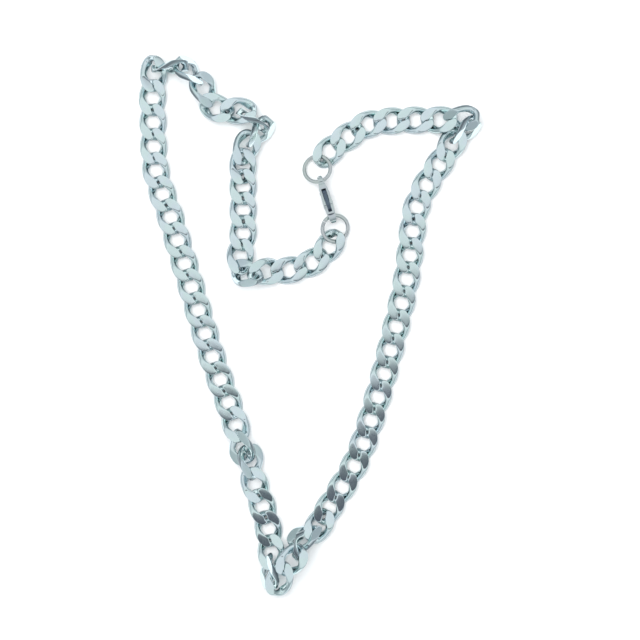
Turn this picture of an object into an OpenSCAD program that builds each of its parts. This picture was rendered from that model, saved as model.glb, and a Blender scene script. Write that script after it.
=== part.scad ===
// Curb chain necklace with two jump rings and a lobster clasp, lying flat.
// Millimetres, Z up. The chain lies on the plane z = 0, its long way along Y.
// Each link is a twisted loop of wire, filed flat above and below.

/* [Chain links] */
// width of one link
link_w = 9.2; // [6:0.1:12]
// length of one link
link_l = 12.8; // [9:0.1:17]
// diameter of the link wire
link_wire = 2.15; // [1.4:0.05:2.6]
// thickness of a link after filing
link_t = 2.8; // [2:0.1:3.6]
// twist of each link end in degrees
link_twist = 46; // [30:1:50]
// sections round one link
link_rings = 16; // [14:2:16]

/* [Jump rings] */
// outside diameter of the jump rings
ring_od = 10.4; // [8:0.1:13]
// diameter of the ring wire
ring_wire = 1.4; // [1:0.05:1.8]

/* [Clasp] */
// width of the clasp across its flat sides
clasp_w = 3.4; // [2.6:0.1:4]
// height of the claw
claw_h = 6.4; // [5:0.1:8]
// thickness of the lever
lever_w = 1.3; // [0.8:0.05:1.4]

/* [Hidden] */
$fn = 48;
steel = [0.78, 0.82, 0.85];
steel_dark = [0.62, 0.66, 0.70];

// play between linked wires when the chain is pulled straight
link_play = 0.34;
link_pitch = link_l - 2 * link_wire - link_play;
// link spacing on the route below; all its lengths grow with the links
route_pitch = 8.16;
spread = link_pitch / route_pitch;

// Route of the chain from the upper jump ring, clockwise, to the lower one.
// A straight run is [number of links, points it passes through]; its links lie flat.
// A link in a fold is [x, y, z, heading, climb, roll], lengths in mm and angles in degrees.
route = [
    // along the top, away from the upper ring
    [5, [[6.5, 58.5], [19.5, 67.5], [35.5, 69]]],
    // fold at the upper right
    [43.5, 69, 2.5, 5, 10, 0],
    [51, 69.5, 4.5, 0, 20, 35],
    [52, 65, 4.5, -140, 10, -60],
    [47.5, 60.5, 2.5, -120, -5, -10],
    // down the right side
    [16, [[43.5, 54], [36, 40], [32.5, 15.5], [27, -8.5], [20.5, -32], [15, -47], [6.5, -61.5]]],
    // pile at the bottom tip
    [3, -67.5, 2, -120, 5, 0],
    [-1.5, -71, 4, -150, 5, 40],
    [-4, -74, 6, -100, -42, 90],
    [-6, -79, 7.5, -130, -10, -5],
    [-10, -85, 5.7, -110, -10, 10],
    [-13.5, -82.8, 3.95, 90, 15, -60],
    [-13, -76.5, 2, 95, -5, 0],
    // up the left side, with one turned over pair
    [2, [[-14, -68.5], [-16, -61]]],
    [-18.5, -53.5, 2.5, 110, 10, 0],
    [-20, -46, 3.2, 90, -15, 30],
    [-23, -41, 3.2, 100, 15, -30],
    [-25, -33.5, 2.5, 110, -10, 0],
    [14, [[-27.5, -26], [-33, -10.5], [-40, 13], [-47, 36.5], [-52, 53], [-53, 76.5]]],
    // fold at the upper left
    [-52.5, 84.5, 2.8, 90, 10, 0],
    [-47, 86.5, 4.55, 5, 0, 80],
    [-40.5, 85, 4.2, -45, 0, -50],
    [-35.5, 79, 3.6, -65, -10, -30],
    [-31.5, 73, 2.5, -25, 10, 0],
    [-24, 72, 3, 0, 5, 0],
    [-19, 68.5, 5.3, -35, 5, 90],
    [-17, 64.5, 4.5, -130, 10, -55],
    [-21.5, 59.5, 3.5, -110, -5, -20],
    [-22.5, 53.5, 2.5, -90, -10, 0],
    // down the inner side and round the lower corner
    [3, [[-22.5, 46.5], [-22.5, 31]]],
    [-23.5, 23, 2.5, -95, 10, -10],
    [-21.5, 17, 4.2, -30, 30, -8],
    [-15, 18, 3.2, 5, -18, 10],
    [3, [[-7, 18.5], [0.5, 21], [6.5, 26.5]]],
];
// jump rings: centre, and the direction in which each leans up
upper_ring = [[2.5, 52.5], -50];
lower_ring = [[8.5, 32.5], 150];
// direction of the closing seam of each ring
upper_seam = -27;
lower_seam = 149;

// number of links that belong to the right part of the chain
right_links = 32;

// one link as a list of points
wire_r = link_wire / 2;
half_w = (link_w - link_wire) / 2;
half_l = (link_l - link_wire) / 2;
// squareness of the loop
loop_square = 3;
// share by which the pressed wire widens inwards at the corners, and how sharply it does
press_widen = 0.6;
widen_sharp = 4;
// share by which the wire is thinner at the ends, where links bear on each other
bearing_thin = 0.15;
thin_sharp = 8;
wire_sides = 6;
// step that gives the direction of the wire, in degrees
tangent_step = 0.01;

function loop_point(a) =
    let (
        c = cos(a),
        s = sin(a),
        k = pow(pow(abs(c), loop_square) + pow(abs(s), loop_square), -1 / loop_square),
        turn = link_twist * s * k,
        x = half_w * c * k
    )
    [x * cos(turn), half_l * s * k, x * sin(turn)];

function unit(v) = v / norm(v);
function clamp_z(v) = [v.x, v.y, max(-link_t / 2, min(link_t / 2, v.z))];

function wire_section(a) =
    let (
        mid = loop_point(a),
        along = unit(loop_point(a + tangent_step) - loop_point(a - tangent_step)),
        out = unit(cross(along, [0, 0, 1])),
        up = cross(out, along),
        r = wire_r * (1 - bearing_thin * pow(abs(sin(a)), thin_sharp)),
        widen = press_widen * abs(sin(2 * a))
    )
    [for (j = [0 : wire_sides - 1])
        let (b = j * 360 / wire_sides, reach = cos(b) < 0 ? 1 + widen * pow(cos(b), widen_sharp) : 1)
        clamp_z(mid + r * (reach * cos(b) * out + sin(b) * up))];

link_points = [for (i = [0 : link_rings - 1]) each wire_section(i * 360 / link_rings)];
link_faces = [
    for (i = [0 : link_rings - 1], j = [0 : wire_sides - 1])
        let (
            i2 = (i + 1) % link_rings,
            j2 = (j + 1) % wire_sides,
            a = i * wire_sides + j,
            b = i * wire_sides + j2,
            c = i2 * wire_sides + j2,
            d = i2 * wire_sides + j
        )
        each [[a, b, c], [a, c, d]]
];

// a smooth curve through the points of a run
bend_steps = 20;
function slope_at(p, i) =
    i == 0 ? p[1] - p[0] :
    i == len(p) - 1 ? p[i] - p[i - 1] :
    (p[i + 1] - p[i - 1]) / 2;
function curve_at(p, i, u) =
    (2 * u^3 - 3 * u^2 + 1) * p[i] + (u^3 - 2 * u^2 + u) * slope_at(p, i)
    + (3 * u^2 - 2 * u^3) * p[i + 1] + (u^3 - u^2) * slope_at(p, i + 1);
function curve(p) = [
    for (i = [0 : len(p) - 2], k = [0 : bend_steps - 1]) curve_at(p, i, k / bend_steps),
    p[len(p) - 1]
];
function way_along(c) = [
    for (i = 0, s = 0; i < len(c); i = i + 1, s = i < len(c) ? s + norm(c[i] - c[i - 1]) : s) s
];
// centres of the links of a run, evenly spaced along its curve
function run_centres(n, p) =
    let (
        c = curve(p),
        s = way_along(c),
        xs = [for (i = [0 : len(c) - 1]) [s[i], c[i].x]],
        ys = [for (i = [0 : len(c) - 1]) [s[i], c[i].y]],
        whole = s[len(s) - 1]
    )
    [for (k = [0 : n - 1])
        let (w = whole * k / (n - 1))
        [lookup(w, xs) * spread, lookup(w, ys) * spread, link_t / 2]];

// every link as a centre, and for a link in a fold its three angles as well
links = [
    for (row = route)
        each is_list(row[1]) ? run_centres(row[0], row[1]) :
            [[row[0] * spread, row[1] * spread, row[2] * spread, row[3], row[4], row[5]]]
];
function centre(i) =
    i < 0 ? concat(upper_ring[0] * spread, 0) :
    i >= len(links) ? concat(lower_ring[0] * spread, 0) :
    [links[i][0], links[i][1], links[i][2]];
// a link in a run points from the link before it to the link after it
function heading_of(i) =
    let (way = centre(i + 1) - centre(i - 1))
    len(links[i]) > 3 ? links[i][3] : atan2(way.y, way.x);
function climb_of(i) = len(links[i]) > 3 ? links[i][4] : 0;
function roll_of(i) = len(links[i]) > 3 ? links[i][5] : 0;

// puts the middle of the part on the middle of the frame
frame_shift = [0, 0.4, 0];

module link(i) {
    h = heading_of(i);
    e = climb_of(i);
    r = roll_of(i);
    along = [cos(h) * cos(e), sin(h) * cos(e), sin(e)];
    up = unit([0, 0, 1] - along.z * along);
    face = up * cos(r) + cross(along, up) * sin(r);
    across = cross(along, face);
    c = centre(i);
    multmatrix([
        [across.x, along.x, face.x, c.x],
        [across.y, along.y, face.y, c.y],
        [across.z, along.z, face.z, c.z],
        [0, 0, 0, 1]
    ]) polyhedron(points = link_points, faces = link_faces, convexity = 6);
}

module chain_right() {
    color(steel) for (i = [0 : right_links - 1]) link(i);
}

module chain_left() {
    color(steel) for (i = [right_links : len(links) - 1]) link(i);
}

// jump rings
ring_r = (ring_od - ring_wire) / 2;
// the low side of a leaning ring just clears the table
ring_lift = 0.02;
ring_low = ring_wire / 2 + ring_lift;
// height of the middle of the clasp above the table
clasp_lift = 0.05;
clasp_z = claw_h / 2 + clasp_lift;
// way from the upper ring to the lower one, along which the clasp lies
gap_way = unit(lower_ring[0] - upper_ring[0]);
gap_dir = atan2(gap_way.y, gap_way.x);
// lean that brings a ring up to the middle of the clasp on the clasp's side
function lean_of(ring, side) = asin((clasp_z - ring_low) / (ring_r * (1 + cos(side - ring[1]))));
function ring_centre(ring, side) = concat(ring[0] * spread, ring_low + ring_r * sin(lean_of(ring, side)));
// plan position of the point of a ring that faces the clasp
function clasp_point(ring, side) =
    let (
        turn = side - ring[1],
        out = ring_r * cos(turn) * cos(lean_of(ring, side)),
        aside = ring_r * sin(turn)
    )
    ring[0] * spread
    + out * [cos(ring[1]), sin(ring[1])]
    + aside * [-sin(ring[1]), cos(ring[1])];
seam_w = 0.12;

module jump_ring(ring, side, seam) {
    lean = lean_of(ring, side);
    translate(ring_centre(ring, side)) rotate([0, 0, ring[1]]) rotate([0, -lean, 0]) difference() {
        rotate_extrude() translate([ring_r, 0]) circle(d = ring_wire);
        rotate([0, 0, seam - ring[1]]) translate([ring_r - ring_wire, -seam_w / 2, -ring_wire])
            cube([2 * ring_wire, seam_w, 2 * ring_wire]);
    }
}

module jump_ring_upper() {
    color(steel_dark) jump_ring(upper_ring, gap_dir, upper_seam);
}

module jump_ring_lower() {
    color(steel_dark) jump_ring(lower_ring, gap_dir + 180, lower_seam);
}

// The clasp stands on edge between the rings, its eye on the upper ring and its hook on the lower.
// Its outlines are drawn from the side: u runs from the eye to the hook, v is up from the middle.
eye_at = clasp_point(upper_ring, gap_dir);
hook_at = clasp_point(lower_ring, gap_dir + 180);
clasp_span = norm(hook_at - eye_at);
clasp_dir = atan2(hook_at.y - eye_at.y, hook_at.x - eye_at.x);
// room round a ring wire in the eye and in the hook
eye_room = 0.35;
hook_room = 0.4;
eye_wall = 0.9;
eye_hole_r = ring_wire / 2 + eye_room;
eye_r = eye_hole_r + eye_wall;
// the claw is slim at its neck and full at its belly, and is hollow inside the hook
claw_wall = 1.5;
claw_r = claw_h / 2;
hollow_r = claw_r - claw_wall;
neck_r = 1.7;
// radius at which the neck runs into the eye, as a share of the eye
eye_blend = 0.7;
// lengths along the clasp, as shares of the way between the two rings
neck_share = 0.075;
pivot_share = 0.105;
belly_share = 0.245;
hollow_share = 0.03;
neck_u = eye_r + neck_share * clasp_span;
claw_u = clasp_span + ring_wire / 2 + hook_room - hollow_r;
belly_u = claw_u - belly_share * clasp_span;
hollow_u = belly_u - hollow_share * clasp_span;
// widths of the eye, the neck and the nose, seen from above
eye_w = 1.7;
neck_w = 2.9;
nose_w = 2.2;
// pivot of the lever, in its boss
pivot_u = neck_u + pivot_share * clasp_span;
pivot_v = 0.55;
boss_r = 1.25;
// height of the arm where it leaves the boss, as a share of the boss
arm_root = 0.8;
rivet_r = 0.45;
rivet_len = 3.3;
pivot_fit = 0.06;
// the lever ends on an arc about its pivot, clear of the ring and of the nose of the hook
reach_room = 0.3;
lever_gap = 0.12;
lever_reach = clasp_span - ring_wire / 2 - reach_room - pivot_u;
lever_sink = 0.15;
lever_depth = 1.7;
tab_r = 0.7;
tab_rise = 0.3;
tab_w = 0.9;
slot_play = 0.15;
slot_w = lever_w + 2 * slot_play;
slot_room = 0.2;
slot_r = boss_r + slot_room;

// two circles on one line with their outer tangents
module capsule(u1, r1, u2, r2) {
    a = acos((r1 - r2) / (u2 - u1));
    translate([u1, 0]) circle(r1);
    translate([u2, 0]) circle(r2);
    polygon([
        [u1 + r1 * cos(a), r1 * sin(a)],
        [u2 + r2 * cos(a), r2 * sin(a)],
        [u2 + r2 * cos(a), -r2 * sin(a)],
        [u1 + r1 * cos(a), -r1 * sin(a)]
    ]);
}

// side outline of the claw without its hole
module claw_outline() {
    circle(eye_r);
    capsule(0, eye_r * eye_blend, neck_u, neck_r);
    capsule(neck_u, neck_r, belly_u, claw_r);
    translate([belly_u, -claw_r]) square([claw_u - belly_u, 2 * claw_r]);
    translate([claw_u, 0]) circle(claw_r);
}

// outline of the clasp seen from above
module clasp_plan() {
    capsule(eye_w / 2 - eye_r, eye_w / 2, 0, eye_w / 2);
    capsule(0, eye_w / 2, neck_u, neck_w / 2);
    capsule(neck_u, neck_w / 2, belly_u, clasp_w / 2);
    capsule(belly_u, clasp_w / 2, claw_u + claw_r - nose_w / 2, nose_w / 2);
}

// stands a side outline on edge and gives it a width across the clasp
module on_edge(w) {
    rotate([90, 0, 0]) translate([0, 0, -w / 2]) linear_extrude(w) children();
}

module clasp_place() {
    translate([eye_at.x, eye_at.y, clasp_z]) rotate([0, 0, clasp_dir]) children();
}

// what is cut out of the claw right across: eye, hollow of the hook, and its mouth
module claw_openings() {
    circle(eye_hole_r);
    translate([hollow_u, 0]) circle(hollow_r);
    translate([hollow_u, -hollow_r]) square([claw_u - hollow_u, 2 * hollow_r]);
    translate([claw_u, 0]) circle(hollow_r);
    intersection() {
        translate([hollow_u, 0]) square([lever_reach, claw_h]);
        translate([pivot_u, pivot_v]) circle(lever_reach + lever_gap);
    }
}

// what is cut out for the lever, open above and towards the mouth
module slot_outline() {
    translate([pivot_u, pivot_v]) circle(slot_r);
    translate([pivot_u, pivot_v - slot_r]) square([hollow_u - pivot_u, claw_h]);
    translate([pivot_u - slot_r, pivot_v]) square([slot_r, claw_h]);
}

module clasp_body() {
    color(steel) clasp_place() {
        difference() {
            intersection() {
                on_edge(2 * clasp_w) claw_outline();
                translate([0, 0, -claw_h]) linear_extrude(2 * claw_h) clasp_plan();
            }
            on_edge(2 * clasp_w) claw_openings();
            on_edge(slot_w) slot_outline();
        }
        // rivet the lever turns on, a little proud of the neck on both sides
        translate([pivot_u, 0, pivot_v]) rotate([90, 0, 0])
            cylinder(r = rivet_r, h = rivet_len, center = true);
    }
}

// side outline of the lever's arm, which lies over the mouth
module arm_outline() {
    top = claw_r - lever_sink;
    root = arm_root * boss_r;
    tip_u = pivot_u + 2 * lever_reach;
    intersection() {
        polygon([
            [pivot_u, pivot_v - root],
            [pivot_u, pivot_v + root],
            [belly_u, top],
            [tip_u, top],
            [tip_u, top - lever_depth],
            [belly_u + tab_r, top - lever_depth]
        ]);
        translate([pivot_u, pivot_v]) circle(lever_reach);
    }
}

module clasp_lever() {
    color(steel_dark) clasp_place() difference() {
        union() {
            on_edge(lever_w) arm_outline();
            on_edge(lever_w) translate([pivot_u, pivot_v]) circle(boss_r);
            // tab for the thumb
            on_edge(tab_w) translate([belly_u + tab_r, claw_r + tab_rise - tab_r]) circle(tab_r);
        }
        on_edge(2 * lever_w) translate([pivot_u, pivot_v]) circle(rivet_r + pivot_fit);
    }
}

translate(frame_shift) chain_right();
translate(frame_shift) chain_left();
translate(frame_shift) jump_ring_upper();
translate(frame_shift) jump_ring_lower();
translate(frame_shift) clasp_body();
translate(frame_shift) clasp_lever();
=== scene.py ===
"""Curb chain necklace: smooth filed links, polished metal, a pale table and soft light."""
import math

import bmesh
import bpy
import numpy as np
from bpy.props import FloatProperty, FloatVectorProperty, IntProperty, PointerProperty
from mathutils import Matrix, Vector


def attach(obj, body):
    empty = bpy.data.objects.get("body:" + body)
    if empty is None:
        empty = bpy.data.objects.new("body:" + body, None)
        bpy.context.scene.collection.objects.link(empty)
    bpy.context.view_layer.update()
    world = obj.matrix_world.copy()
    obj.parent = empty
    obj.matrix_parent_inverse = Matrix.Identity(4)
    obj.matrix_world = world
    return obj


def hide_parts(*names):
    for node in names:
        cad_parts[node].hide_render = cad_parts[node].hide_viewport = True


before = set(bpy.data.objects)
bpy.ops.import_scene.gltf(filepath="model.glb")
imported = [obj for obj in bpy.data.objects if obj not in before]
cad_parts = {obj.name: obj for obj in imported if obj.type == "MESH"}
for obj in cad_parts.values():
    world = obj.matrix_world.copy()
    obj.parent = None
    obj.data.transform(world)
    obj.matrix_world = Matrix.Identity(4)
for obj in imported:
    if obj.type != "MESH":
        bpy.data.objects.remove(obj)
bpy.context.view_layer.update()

bl_info = {
    "name": "Curb chain necklace",
    "version": (1, 0, 0),
    "blender": (4, 5, 0),
    "location": "3D View > Sidebar > Necklace",
    "description": "Smooth links, polished metal, table and light for a curb chain necklace",
    "category": "Object",
}

MM = 0.001

# Route of the chain from the upper jump ring, clockwise, to the lower one, as the part's source
# has it. A straight run is (number of links, points it passes through), and its links lie flat.
# A link in a fold is (x, y, z, heading, climb, roll), with lengths in mm and angles in degrees.
ROUTE = [
    # along the top, away from the upper ring
    (5, [(6.5, 58.5), (19.5, 67.5), (35.5, 69)]),
    # fold at the upper right
    (43.5, 69, 2.5, 5, 10, 0),
    (51, 69.5, 4.5, 0, 20, 35),
    (52, 65, 4.5, -140, 10, -60),
    (47.5, 60.5, 2.5, -120, -5, -10),
    # down the right side
    (16, [(43.5, 54), (36, 40), (32.5, 15.5), (27, -8.5), (20.5, -32), (15, -47), (6.5, -61.5)]),
    # pile at the bottom tip
    (3, -67.5, 2, -120, 5, 0),
    (-1.5, -71, 4, -150, 5, 40),
    (-4, -74, 6, -100, -42, 90),
    (-6, -79, 7.5, -130, -10, -5),
    (-10, -85, 5.7, -110, -10, 10),
    (-13.5, -82.8, 3.95, 90, 15, -60),
    (-13, -76.5, 2, 95, -5, 0),
    # up the left side, with one turned over pair
    (2, [(-14, -68.5), (-16, -61)]),
    (-18.5, -53.5, 2.5, 110, 10, 0),
    (-20, -46, 3.2, 90, -15, 30),
    (-23, -41, 3.2, 100, 15, -30),
    (-25, -33.5, 2.5, 110, -10, 0),
    (14, [(-27.5, -26), (-33, -10.5), (-40, 13), (-47, 36.5), (-52, 53), (-53, 76.5)]),
    # fold at the upper left
    (-52.5, 84.5, 2.8, 90, 10, 0),
    (-47, 86.5, 4.55, 5, 0, 80),
    (-40.5, 85, 4.2, -45, 0, -50),
    (-35.5, 79, 3.6, -65, -10, -30),
    (-31.5, 73, 2.5, -25, 10, 0),
    (-24, 72, 3, 0, 5, 0),
    (-19, 68.5, 5.3, -35, 5, 90),
    (-17, 64.5, 4.5, -130, 10, -55),
    (-21.5, 59.5, 3.5, -110, -5, -20),
    (-22.5, 53.5, 2.5, -90, -10, 0),
    # down the inner side and round the lower corner
    (3, [(-22.5, 46.5), (-22.5, 31)]),
    (-23.5, 23, 2.5, -95, 10, -10),
    (-21.5, 17, 4.2, -30, 30, -8),
    (-15, 18, 3.2, 5, -18, 10),
    (3, [(-7, 18.5), (0.5, 21), (6.5, 26.5)]),
]
# where the two rings lie on the table, at which the route begins and ends, in mm
UPPER_RING = (2.5, 52.5, 0)
LOWER_RING = (8.5, 32.5, 0)
# how many links, from the upper ring on, are in the right part of the chain
RIGHT_LINKS = 32
# from the route's own origin to the frame's, in mm
FRAME_SHIFT = (0, 0.4, 0)
# curve points between two chosen points of a run
BEND_STEPS = 20
# half of the turn over which the loop's direction is measured
SLOPE_STEP = 1e-4

# a copy of a CAD node: how near its corners are joined, how flat a face is, how sharp an edge is
# rounded, and in how many steps
JOIN_WITHIN = 1e-6
FLAT_WITHIN = math.radians(1)
EDGE_OVER = math.radians(35)
EDGE_STEPS = 3

# rise of the wire's surface, 1 where it faces up, at which the painted shade on its steep sides
# begins and is full
STEEP_FROM, STEEP_TO = 0.8, 0.25
# share of the painted shade that is taken off inside the long sides of a link
SHADE_EASED_SHARE = 0.65
# how strongly full painted shade darkens the metal
PAINTED_SHADE_COVER = 0.85

# the polish: cloud patches to a metre, the tone in a dark and a pale one, and how far the fine
# polishing lines are drawn out
CLOUD_SCALE, CLOUD_DARK, CLOUD_PALE = 260.0, 0.93, 1.05
LINES_DRAWN = (900.0, 5200.0, 900.0)
# shares of the roughness: everywhere, in the clouds and in the lines
ROUGH_EVEN, ROUGH_CLOUD, ROUGH_LINES = 0.75, 0.4, 0.25
# how strongly and how high the lines stand
BUMP_STRENGTH, BUMP_HEIGHT = 0.01, 0.04 * MM
# the faint tints of the polish, how many of their patches there are to a metre, and between which
# values of the noise one turns into the other
GREEN_TINT, BLUE_TINT, TINT_SCALE = (0.97, 1.0, 0.97), (0.99, 0.98, 1.0), 160.0
TINT_FROM, TINT_TO = 0.4, 0.6

# the surroundings by height, from the horizon at 0 to straight overhead at 1
SKY = [
    (0.0, (0.36, 0.40, 0.43)),
    (0.30, (0.52, 0.56, 0.59)),
    (0.60, (0.82, 0.86, 0.89)),
    (1.0, (0.96, 0.98, 1.0)),
]
# where the onlooker's shade begins and is full on its way north to south, how it leans to the east,
# and the heights at which its rim and its core lie
SHADE_FROM, SHADE_TO, SHADE_LEAN = 0.008, -0.04, -0.25
SHADE_RIM, SHADE_CORE = 0.955, 0.985
SHADE_COLOUR = (0.01, 0.02, 0.05)

# the lamp: where it hangs, how wide it is, and its power in watts
LAMP_PLACE, LAMP_SIZE, LAMP_POWER = (-0.3, 0.3, 1.6), 1.6, 26.0
# the table: half its width, how low it lies and how rough it is, then the tone of its grain and how
# many grains there are to a metre
TABLE_HALF, TABLE_LOW, TABLE_ROUGH = 3.0, -0.13 * MM, 0.9
GRAIN_DARK, GRAIN_SCALE = 0.99, 40.0
# the picture: how wide it is on the table and which point of the table is at its middle, in mm
PICTURE_W = 215.7
PICTURE_MIDDLE = (3.4, 2.1)
# the camera's lens and sensor in mm, and how far it sees in metres
LENS, SENSOR, SIGHT = 200.0, 36.0, 20.0


class NecklaceSizes(bpy.types.PropertyGroup):
    """Sizes of the links, in the part's own measures."""
    link_w: FloatProperty(
        name="Link width", description="Width of one link", default=9.2 * MM, unit="LENGTH")
    link_l: FloatProperty(
        name="Link length", description="Length of one link", default=12.8 * MM, unit="LENGTH")
    link_wire: FloatProperty(
        name="Wire", description="Diameter of the link wire", default=2.15 * MM, unit="LENGTH")
    link_t: FloatProperty(
        name="Thickness", description="Thickness of a filed link", default=2.8 * MM, unit="LENGTH")
    link_twist: FloatProperty(
        name="Twist", description="Twist of each link end", default=math.radians(46),
        subtype="ANGLE")
    loop_square: FloatProperty(
        name="Squareness", description="How square the loop of a link is", default=3.0)
    press_widen: FloatProperty(
        name="Pressed corners", description="Share by which the wire widens inwards at the corners",
        default=0.8)
    widen_sharp: FloatProperty(
        name="Widening sharpness", description="How sharply the widened wire ends", default=4.0)
    bearing_thin: FloatProperty(
        name="Thin ends", description="Share by which the wire is thinner where links bear",
        default=0.15)
    thin_sharp: FloatProperty(
        name="Thinning sharpness", description="How sharply the thin ends begin", default=8.0)
    edge_soft: FloatProperty(
        name="Soft edge", description="Height over which a filed face rounds off",
        default=0.1 * MM, unit="LENGTH")
    face_dome: FloatProperty(
        name="Domed face", description="How much lower a filed face is near its rim",
        default=0.025 * MM, unit="LENGTH")
    around: IntProperty(name="Rings", description="Sections round one link", default=72)
    sides: IntProperty(name="Sides", description="Points round the wire of a link", default=34)
    edge_round: FloatProperty(
        name="Rounded edge", description="Radius of the clasp's edges", default=0.15 * MM,
        unit="LENGTH")


class NecklaceFinish(bpy.types.PropertyGroup):
    """Colours and polish of the metal, and the light on it."""
    link_colour: FloatVectorProperty(
        name="Links", description="Colour of the chain", subtype="COLOR",
        default=(0.73, 0.86, 0.88))
    ring_colour: FloatVectorProperty(
        name="Rings", description="Colour of the jump rings", subtype="COLOR",
        default=(0.62, 0.66, 0.66))
    clasp_colour: FloatVectorProperty(
        name="Clasp", description="Colour of the clasp", subtype="COLOR",
        default=(0.60, 0.66, 0.68))
    lever_colour: FloatVectorProperty(
        name="Lever", description="Colour of the clasp's lever", subtype="COLOR",
        default=(0.13, 0.17, 0.22))
    # painted shade: the dark colour put on the steep sides of the wire, where they turn away from
    # the light overhead
    painted_shade_colour: FloatVectorProperty(
        name="Painted shade", description="Colour of the patina left on the sides of the wire",
        subtype="COLOR", default=(0.11, 0.14, 0.165))
    table_colour: FloatVectorProperty(
        name="Table", description="Colour of the table", subtype="COLOR",
        default=(0.95, 0.95, 0.95))
    roughness: FloatProperty(
        name="Roughness", description="Roughness of the polished metal", default=0.09,
        subtype="FACTOR")
    sky: FloatProperty(
        name="Overhead light", description="Brightness of the light from above", default=0.9)
    shade: FloatProperty(
        name="Shade", description="How dark the onlooker's shade is, which the lower flats mirror",
        default=0.88, subtype="FACTOR")


# ---------- shader maths ----------

class Wire:
    """A value in a node tree, on which sums and products add Math nodes."""

    def __init__(self, kit, socket):
        self.kit, self.socket = kit, socket

    def _math(self, operation, *values):
        return self.kit.node("ShaderNodeMath", {"operation": operation}, dict(enumerate(values)))

    def __add__(self, other): return self._math("ADD", self, other)
    def __radd__(self, other): return self._math("ADD", other, self)
    def __mul__(self, other): return self._math("MULTIPLY", self, other)


class Kit:
    """The node tree of a material or a world, and the one method that adds nodes to it."""

    def __init__(self, owner):
        owner.use_nodes = True
        self.owner, self.tree = owner, owner.node_tree
        self.tree.nodes.clear()

    def node(self, kind, settings=None, inputs=None, output=0):
        """Adds and sets up a node, fills its sockets with values or wires, returns one output."""
        made = self.tree.nodes.new(kind)
        for key, value in (settings or {}).items():
            if key == "stops":
                ramp = made.color_ramp
                while len(ramp.elements) < len(value):
                    ramp.elements.new(1.0)
                for element, (place, colour) in zip(ramp.elements, value):
                    element.position, element.color = place, (*colour, 1.0)
            else:
                setattr(made, key, value)
        for key, value in (inputs or {}).items():
            if isinstance(value, Wire):
                self.tree.links.new(value.socket, made.inputs[key])
            elif made.inputs[key].type == "RGBA":
                made.inputs[key].default_value = (*value, 1.0)
            else:
                made.inputs[key].default_value = value
        return Wire(self, made.outputs[output])

    def mix(self, factor, first, second, blend="MIX"):
        """Colour between two colours, or the blend of the two."""
        settings = {"data_type": "RGBA", "clamp_factor": True, "blend_type": blend}
        return self.node("ShaderNodeMix", settings, {0: factor, 6: first, 7: second}, output=2)

    def step(self, value, low, high):
        """Smooth rise from 0 at low to 1 at high, or fall where high is the lower of the two."""
        kind = {"interpolation_type": "SMOOTHSTEP"}
        limits = {"From Min": low, "From Max": high}
        if low > high:
            limits = {"From Min": high, "From Max": low, "To Min": 1.0, "To Max": 0.0}
        return self.node("ShaderNodeMapRange", kind, {"Value": value, **limits})

    def finish(self, shader, kind="ShaderNodeOutputMaterial"):
        """Joins the shader to the tree's output, and returns the material or the world."""
        out = self.tree.nodes.new(kind)
        self.tree.links.new(shader.socket, out.inputs["Surface"])
        return self.owner


def scaled(colour, share):
    """A colour made darker or paler by a share, as far as white."""
    return tuple(min(1.0, share * part) for part in colour)


def polished_metal(name, colour, roughness, patina=None):
    """Polished steel: faint clouds and tints, fine polishing lines, and painted shade on the steep
    sides of the wire where the piece has some. The clouds and the lines also make it a little
    rougher."""
    kit = Kit(bpy.data.materials.new(name))
    place = kit.node("ShaderNodeTexCoord", output="Object")
    cloud = kit.node(
        "ShaderNodeTexNoise", inputs={"Vector": place, "Scale": CLOUD_SCALE, "Detail": 3.0})
    drawn = kit.node("ShaderNodeMapping", inputs={"Vector": place, "Scale": LINES_DRAWN})
    lines = kit.node("ShaderNodeTexNoise", inputs={"Vector": drawn, "Scale": 1.0, "Detail": 2.0})
    drift = kit.node("ShaderNodeTexNoise", inputs={"Vector": place, "Scale": TINT_SCALE})
    tone = kit.mix(cloud, scaled(colour, CLOUD_DARK), scaled(colour, CLOUD_PALE))
    tint = kit.mix(kit.step(drift, TINT_FROM, TINT_TO), GREEN_TINT, BLUE_TINT)
    tone = kit.mix(1.0, tone, tint, blend="MULTIPLY")
    # painted shade on the steep sides of the wire, read from the mesh, darkens the tone
    if patina:
        left = kit.node("ShaderNodeAttribute", {"attribute_name": "patina"}, output="Fac")
        tone = kit.mix(left * PAINTED_SHADE_COVER, tone, patina)
    rough = (roughness * ROUGH_EVEN + cloud * (ROUGH_CLOUD * roughness)
             + lines * (ROUGH_LINES * roughness))
    bump = kit.node("ShaderNodeBump", inputs={
        "Strength": BUMP_STRENGTH, "Distance": BUMP_HEIGHT, "Height": lines})
    return kit.finish(kit.node("ShaderNodeBsdfPrincipled", inputs={
        "Base Color": tone, "Metallic": 1.0, "Roughness": rough, "Normal": bump}))


# ---------- shapes ----------

def unit(v):
    """Rows of v brought to length one."""
    return v / np.linalg.norm(v, axis=-1, keepdims=True)


def loop_point(sizes, t):
    """Middle of a link's wire at turn t. A rounded square loop in x and y, whose ends are twisted
    about y: the further a point lies along the link, the more its x is turned up into z."""
    half_w = (sizes.link_w - sizes.link_wire) / 2
    half_l = (sizes.link_l - sizes.link_wire) / 2
    n = sizes.loop_square
    k = (np.abs(np.cos(t)) ** n + np.abs(np.sin(t)) ** n) ** (-1 / n)
    turn = sizes.link_twist * np.sin(t) * k
    x = half_w * np.cos(t) * k
    return np.stack([x * np.cos(turn), half_l * np.sin(t) * k, x * np.sin(turn)], axis=-1)


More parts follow.
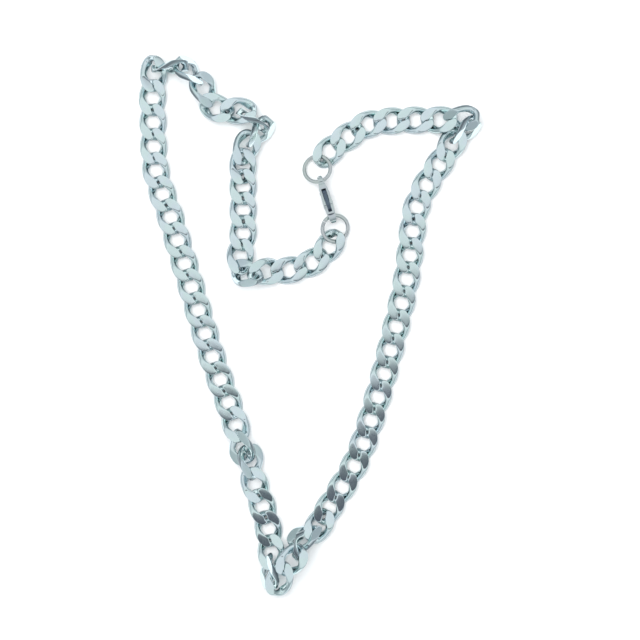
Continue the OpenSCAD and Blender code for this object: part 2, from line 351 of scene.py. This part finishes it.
def link_surface(sizes):
    """One link as a grid of points, rings by sides, and each point's painted shade from 0 to 1. A
    circle is carried along the loop, thinner at the two ends and widened inwards at the four
    corners.
    What would stand out of the filed faces is pressed flat, more and more softly as it nears them,
    and the faces fall off a little from their middle towards their rim."""
    # t goes round the loop, and s round the wire
    t = np.arange(sizes.around) * (2 * np.pi / sizes.around)
    s = np.arange(sizes.sides) * (2 * np.pi / sizes.sides)
    middle = loop_point(sizes, t)
    along = unit(loop_point(sizes, t + SLOPE_STEP) - loop_point(sizes, t - SLOPE_STEP))
    out = unit(np.cross(along, [0.0, 0.0, 1.0]))
    up = np.cross(out, along)
    widen = sizes.press_widen * np.abs(np.sin(2 * t))[:, None]
    reach = np.where(np.cos(s) < 0, 1 + widen * np.cos(s) ** sizes.widen_sharp, 1.0) * np.cos(s)
    thinner = sizes.bearing_thin * np.abs(np.sin(t)) ** sizes.thin_sharp
    radius = sizes.link_wire / 2 * (1 - thinner)[:, None, None]
    section = reach[..., None] * out[:, None] + np.sin(s)[None, :, None] * up[:, None]
    points = middle[:, None] + radius * section

    height, half_t, soft = points[..., 2], sizes.link_t / 2, sizes.edge_soft
    over = np.maximum(np.abs(height) - half_t + soft, 0)
    # 1 beside a filed face, and falls to 0 on it
    off_face = np.exp(-over / soft)
    fallen = sizes.face_dome * (1 - over / over.max()) * (1 - off_face)
    filed = half_t - soft * off_face - fallen
    points[..., 2] = np.where(over > 0, np.sign(height) * filed, height)

    # painted shade darkens the steep sides of the wire, where they turn away from the light
    #     # overhead, and leaves the filed faces and top clean
    rise = np.abs(np.cos(s)[None] * out[:, 2:] + np.sin(s)[None] * up[:, 2:])
    patina = np.clip((STEEP_FROM - rise) / (STEEP_FROM - STEEP_TO), 0, 1) * off_face
    # the painted shade is eased on the inward side of the wire along the long sides of a link
    shade_eased = np.clip(-np.cos(s), 0, 1)[None] * np.cos(t)[:, None] ** 2
    return points, patina * (1 - SHADE_EASED_SHARE * shade_eased)


def smooth_run(points):
    """A curve through the points of a run: cubic pieces whose slope at a point is half the way
    between its neighbours, and the first and last steps at the two ends."""
    p = np.array(points, float)
    slope = np.concatenate([[p[1] - p[0]], (p[2:] - p[:-2]) / 2, [p[-1] - p[-2]]])
    u = np.arange(BEND_STEPS)[:, None] / BEND_STEPS
    pieces = [
        (2 * u**3 - 3 * u**2 + 1) * p[i] + (u**3 - 2 * u**2 + u) * slope[i]
        + (3 * u**2 - 2 * u**3) * p[i + 1] + (u**3 - u**2) * slope[i + 1]
        for i in range(len(p) - 1)]
    return np.concatenate(pieces + [p[-1:]])


def run_centres(count, points, height):
    """Centres of a run's links, evenly spaced along its curve."""
    curve = smooth_run(points)
    way = np.concatenate([[0.0], np.cumsum(np.linalg.norm(np.diff(curve, axis=0), axis=1))])
    stops = np.linspace(0, way[-1], count)
    x, y = (np.interp(stops, way, curve[:, k]) for k in (0, 1))
    return np.stack([x, y, np.full(count, height)], axis=1)


def link_turn(heading, climb, roll):
    """Turn of a link as a matrix, whose columns are its width, its length and its filed face."""
    h, c, r = np.radians([heading, climb, roll])
    along = np.array([np.cos(h) * np.cos(c), np.sin(h) * np.cos(c), np.sin(c)])
    up = unit(np.array([0.0, 0.0, 1.0]) - along[2] * along)
    face = up * np.cos(r) + np.cross(along, up) * np.sin(r)
    return np.stack([np.cross(along, face), along, face], axis=1)


def link_places(height):
    """Centre and turn of every link, from the route, with the links of a run at the given height.
    A flat link points from the one before it to the one after."""
    centres, angles = [], []
    for row in ROUTE:
        if isinstance(row[1], list):
            centres.extend(run_centres(*row, height))
            angles.extend([None] * row[0])
        else:
            centres.append(np.array(row[:3], float))
            angles.append(row[3:])
    ends = [np.array(UPPER_RING, float)] + centres + [np.array(LOWER_RING, float)]
    turns = []
    for before, after, angle in zip(ends, ends[2:], angles):
        way = after - before
        turns.append(link_turn(*(angle or (math.degrees(math.atan2(way[1], way[0])), 0, 0))))
    return (np.array(centres) + FRAME_SHIFT) * MM, np.array(turns)


def grid_faces(around, sides, copies):
    """Four-cornered faces of closed grids, rings by sides, one grid after another."""
    i, j = np.meshgrid(np.arange(around), np.arange(sides), indexing="ij")
    i2, j2 = (i + 1) % around, (j + 1) % sides
    corners = [i * sides + j, i2 * sides + j, i2 * sides + j2, i * sides + j2]
    one = np.stack(corners, axis=-1).reshape(-1, 4)
    return (one[None] + np.arange(copies)[:, None, None] * around * sides).reshape(-1, 4)


# ---------- pieces ----------

def put(name, data):
    """A new object in the scene, made of a mesh, a lamp or a camera."""
    made = bpy.data.objects.new(name, data)
    bpy.context.scene.collection.objects.link(made)
    return made


def mesh_piece(name, points, faces, patina, material):
    """A smooth shaded mesh object from arrays of points and faces, and each point's painted shade.
    """
    mesh = bpy.data.meshes.new(name)
    mesh.from_pydata(points, [], faces)
    # per-point painted shade on the steep sides of the wire
    layer = mesh.attributes.new("patina", "FLOAT", "POINT")
    layer.data.foreach_set("value", patina.astype(np.float32))
    mesh.materials.append(material)
    mesh.update()
    mesh.shade_smooth()
    return put(name, mesh)


def repaint(node, material):
    """Puts the material on a CAD node."""
    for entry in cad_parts[node].material_slots:
        entry.material = material


def rounded_copy(node, body, radius, material):
    """Puts a joined copy of a CAD node with rounded edges in its place."""
    mesh = bpy.data.meshes.new(node + "_rounded")
    form = bmesh.new()
    form.from_mesh(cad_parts[node].data)
    bmesh.ops.remove_doubles(form, verts=form.verts, dist=JOIN_WITHIN)
    bmesh.ops.dissolve_limit(form, angle_limit=FLAT_WITHIN, verts=form.verts, edges=form.edges)
    edges = [
        edge for edge in form.edges if edge.is_manifold and edge.calc_face_angle() > EDGE_OVER]
    bmesh.ops.bevel(
        form, geom=edges, offset=radius, offset_type="OFFSET", segments=EDGE_STEPS, profile=0.5,
        affect="EDGES", clamp_overlap=True)
    bmesh.ops.triangulate(form, faces=form.faces)
    form.to_mesh(mesh)
    form.free()
    mesh.materials.clear()
    mesh.materials.append(material)
    mesh.shade_smooth()
    mesh.set_sharp_from_angle(angle=EDGE_OVER)
    piece = put(node + "_rounded", mesh)
    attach(piece, body)
    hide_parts(node)


def table_piece(colour):
    """A wide flat square just under the necklace."""
    mesh = bpy.data.meshes.new("table")
    sides = ((-1, -1), (1, -1), (1, 1), (-1, 1))
    corners = [(x * TABLE_HALF, y * TABLE_HALF, TABLE_LOW) for x, y in sides]
    mesh.from_pydata(corners, [], [(0, 1, 2, 3)])
    kit = Kit(bpy.data.materials.new("table_white"))
    place = kit.node("ShaderNodeTexCoord", output="Object")
    grain = kit.node(
        "ShaderNodeTexNoise", inputs={"Vector": place, "Scale": GRAIN_SCALE, "Detail": 3.0})
    tone = kit.mix(grain, scaled(colour, GRAIN_DARK), colour)
    mesh.materials.append(kit.finish(kit.node(
        "ShaderNodeBsdfPrincipled", inputs={"Base Color": tone, "Roughness": TABLE_ROUGH})))
    return put("table", mesh)


def surroundings(strength, shade):
    """A pale sky overhead, slate towards the horizon, with the shade of an onlooker just below the
    camera."""
    kit = Kit(bpy.data.worlds.new("studio"))
    place = kit.node("ShaderNodeTexCoord", output="Generated")
    east, north, up = (
        kit.node("ShaderNodeSeparateXYZ", inputs={0: place}, output=k) for k in range(3))
    sky = kit.node("ShaderNodeValToRGB", {"stops": SKY}, {0: up})
    near = kit.step(up, SHADE_RIM, SHADE_CORE)
    below = kit.step(north + east * SHADE_LEAN, SHADE_FROM, SHADE_TO)
    colour = kit.mix(near * below * shade, sky, SHADE_COLOUR)
    light = kit.node("ShaderNodeBackground", inputs={"Color": colour, "Strength": strength})
    return kit.finish(light, "ShaderNodeOutputWorld")


def soft_lamp():
    """A square soft light that faces the middle of the table. The metal doesn't mirror it, only
    the sky."""
    lamp = bpy.data.lights.new("soft_light", "AREA")
    lamp.shape, lamp.size, lamp.energy = "SQUARE", LAMP_SIZE, LAMP_POWER
    box = put("soft_light", lamp)
    box.location = LAMP_PLACE
    box.visible_glossy = False
    box.rotation_euler = (-Vector(LAMP_PLACE)).to_track_quat("-Z", "Y").to_euler()


def camera_above():
    """The camera straight above, so far up that the picture is as wide as it has to be."""
    camera = bpy.data.cameras.new("camera")
    camera.lens, camera.sensor_width, camera.clip_end = LENS, SENSOR, SIGHT
    seat = put("camera", camera)
    seat.location = (PICTURE_MIDDLE[0] * MM, PICTURE_MIDDLE[1] * MM, PICTURE_W * MM * LENS / SENSOR)
    return seat


# ---------- operators ----------

class NECKLACE_OT_chain(bpy.types.Operator):
    """Lays smooth links along the route, in the two parts of the chain"""
    bl_idname = "necklace.chain"
    bl_label = "Chain"

    def execute(self, context):
        sizes, look = context.scene.necklace_sizes, context.scene.necklace_finish
        # the points of one link, and the painted shade on the steep sides of its wire
        points, patina = link_surface(sizes)
        centres, turns = link_places(sizes.link_t / 2 / MM)
        metal = polished_metal(
            "link_metal", tuple(look.link_colour), look.roughness, tuple(look.painted_shade_colour))
        laid = np.einsum("nij,rsj->nrsi", turns, points) + centres[:, None, None]
        for node, part in (
                ("chain_right", laid[:RIGHT_LINKS]), ("chain_left", laid[RIGHT_LINKS:])):
            faces = grid_faces(sizes.around, sizes.sides, len(part))
            piece = mesh_piece(
                node + "_links", part.reshape(-1, 3), faces, np.tile(patina.ravel(), len(part)),
                metal)
            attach(piece, "necklace")
            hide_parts(node)
        return {"FINISHED"}


class NECKLACE_OT_rings(bpy.types.Operator):
    """Polishes the two jump rings"""
    bl_idname = "necklace.rings"
    bl_label = "Jump rings"

    def execute(self, context):
        look = context.scene.necklace_finish
        metal = polished_metal("ring_metal", tuple(look.ring_colour), look.roughness)
        for node in ("jump_ring_upper", "jump_ring_lower"):
            repaint(node, metal)
        return {"FINISHED"}


class NECKLACE_OT_clasp(bpy.types.Operator):
    """Polishes the clasp and its lever, and rounds their edges"""
    bl_idname = "necklace.clasp"
    bl_label = "Clasp"

    def execute(self, context):
        sizes, look = context.scene.necklace_sizes, context.scene.necklace_finish
        for node, body, slot, colour in (
                ("clasp_body", "necklace", "clasp_steel", look.clasp_colour),
                ("clasp_lever", "lever", "lever_steel", look.lever_colour)):
            metal = polished_metal(node + "_metal", tuple(colour), look.roughness)
            rounded_copy(node, body, sizes.edge_round, metal)
        return {"FINISHED"}


class NECKLACE_OT_stage(bpy.types.Operator):
    """Makes the pale table, the light round it, and the camera straight above"""
    bl_idname = "necklace.stage"
    bl_label = "Table, light and camera"

    def execute(self, context):
        look, scene = context.scene.necklace_finish, context.scene
        table = table_piece(tuple(look.table_colour))
        scene.world = surroundings(look.sky, look.shade)
        soft_lamp()
        scene.camera = camera_above()
        scene.view_settings.view_transform = "Standard"
        return {"FINISHED"}


class NECKLACE_PT_panel(bpy.types.Panel):
    """Lists the sizes, the finish and the makers of the pieces"""
    bl_idname = "NECKLACE_PT_panel"
    bl_label = "Curb chain necklace"
    bl_space_type = "VIEW_3D"
    bl_region_type = "UI"
    bl_category = "Necklace"

    def draw(self, context):
        for group in (context.scene.necklace_sizes, context.scene.necklace_finish):
            for name in group.__annotations__:
                self.layout.prop(group, name)
        for maker in MAKERS:
            self.layout.operator(maker.bl_idname)


MAKERS = (NECKLACE_OT_chain, NECKLACE_OT_rings, NECKLACE_OT_clasp, NECKLACE_OT_stage)
CLASSES = (NecklaceSizes, NecklaceFinish, *MAKERS, NECKLACE_PT_panel)


def register():
    for kind in CLASSES:
        bpy.utils.register_class(kind)
    bpy.types.Scene.necklace_sizes = PointerProperty(type=NecklaceSizes)
    bpy.types.Scene.necklace_finish = PointerProperty(type=NecklaceFinish)


def unregister():
    del bpy.types.Scene.necklace_finish
    del bpy.types.Scene.necklace_sizes
    for kind in reversed(CLASSES):
        bpy.utils.unregister_class(kind)


def main():
    """Registers the add-on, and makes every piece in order."""
    register()
    bpy.ops.necklace.chain()
    bpy.ops.necklace.rings()
    bpy.ops.necklace.clasp()
    bpy.ops.necklace.stage()


if __name__ == "__main__":
    main()
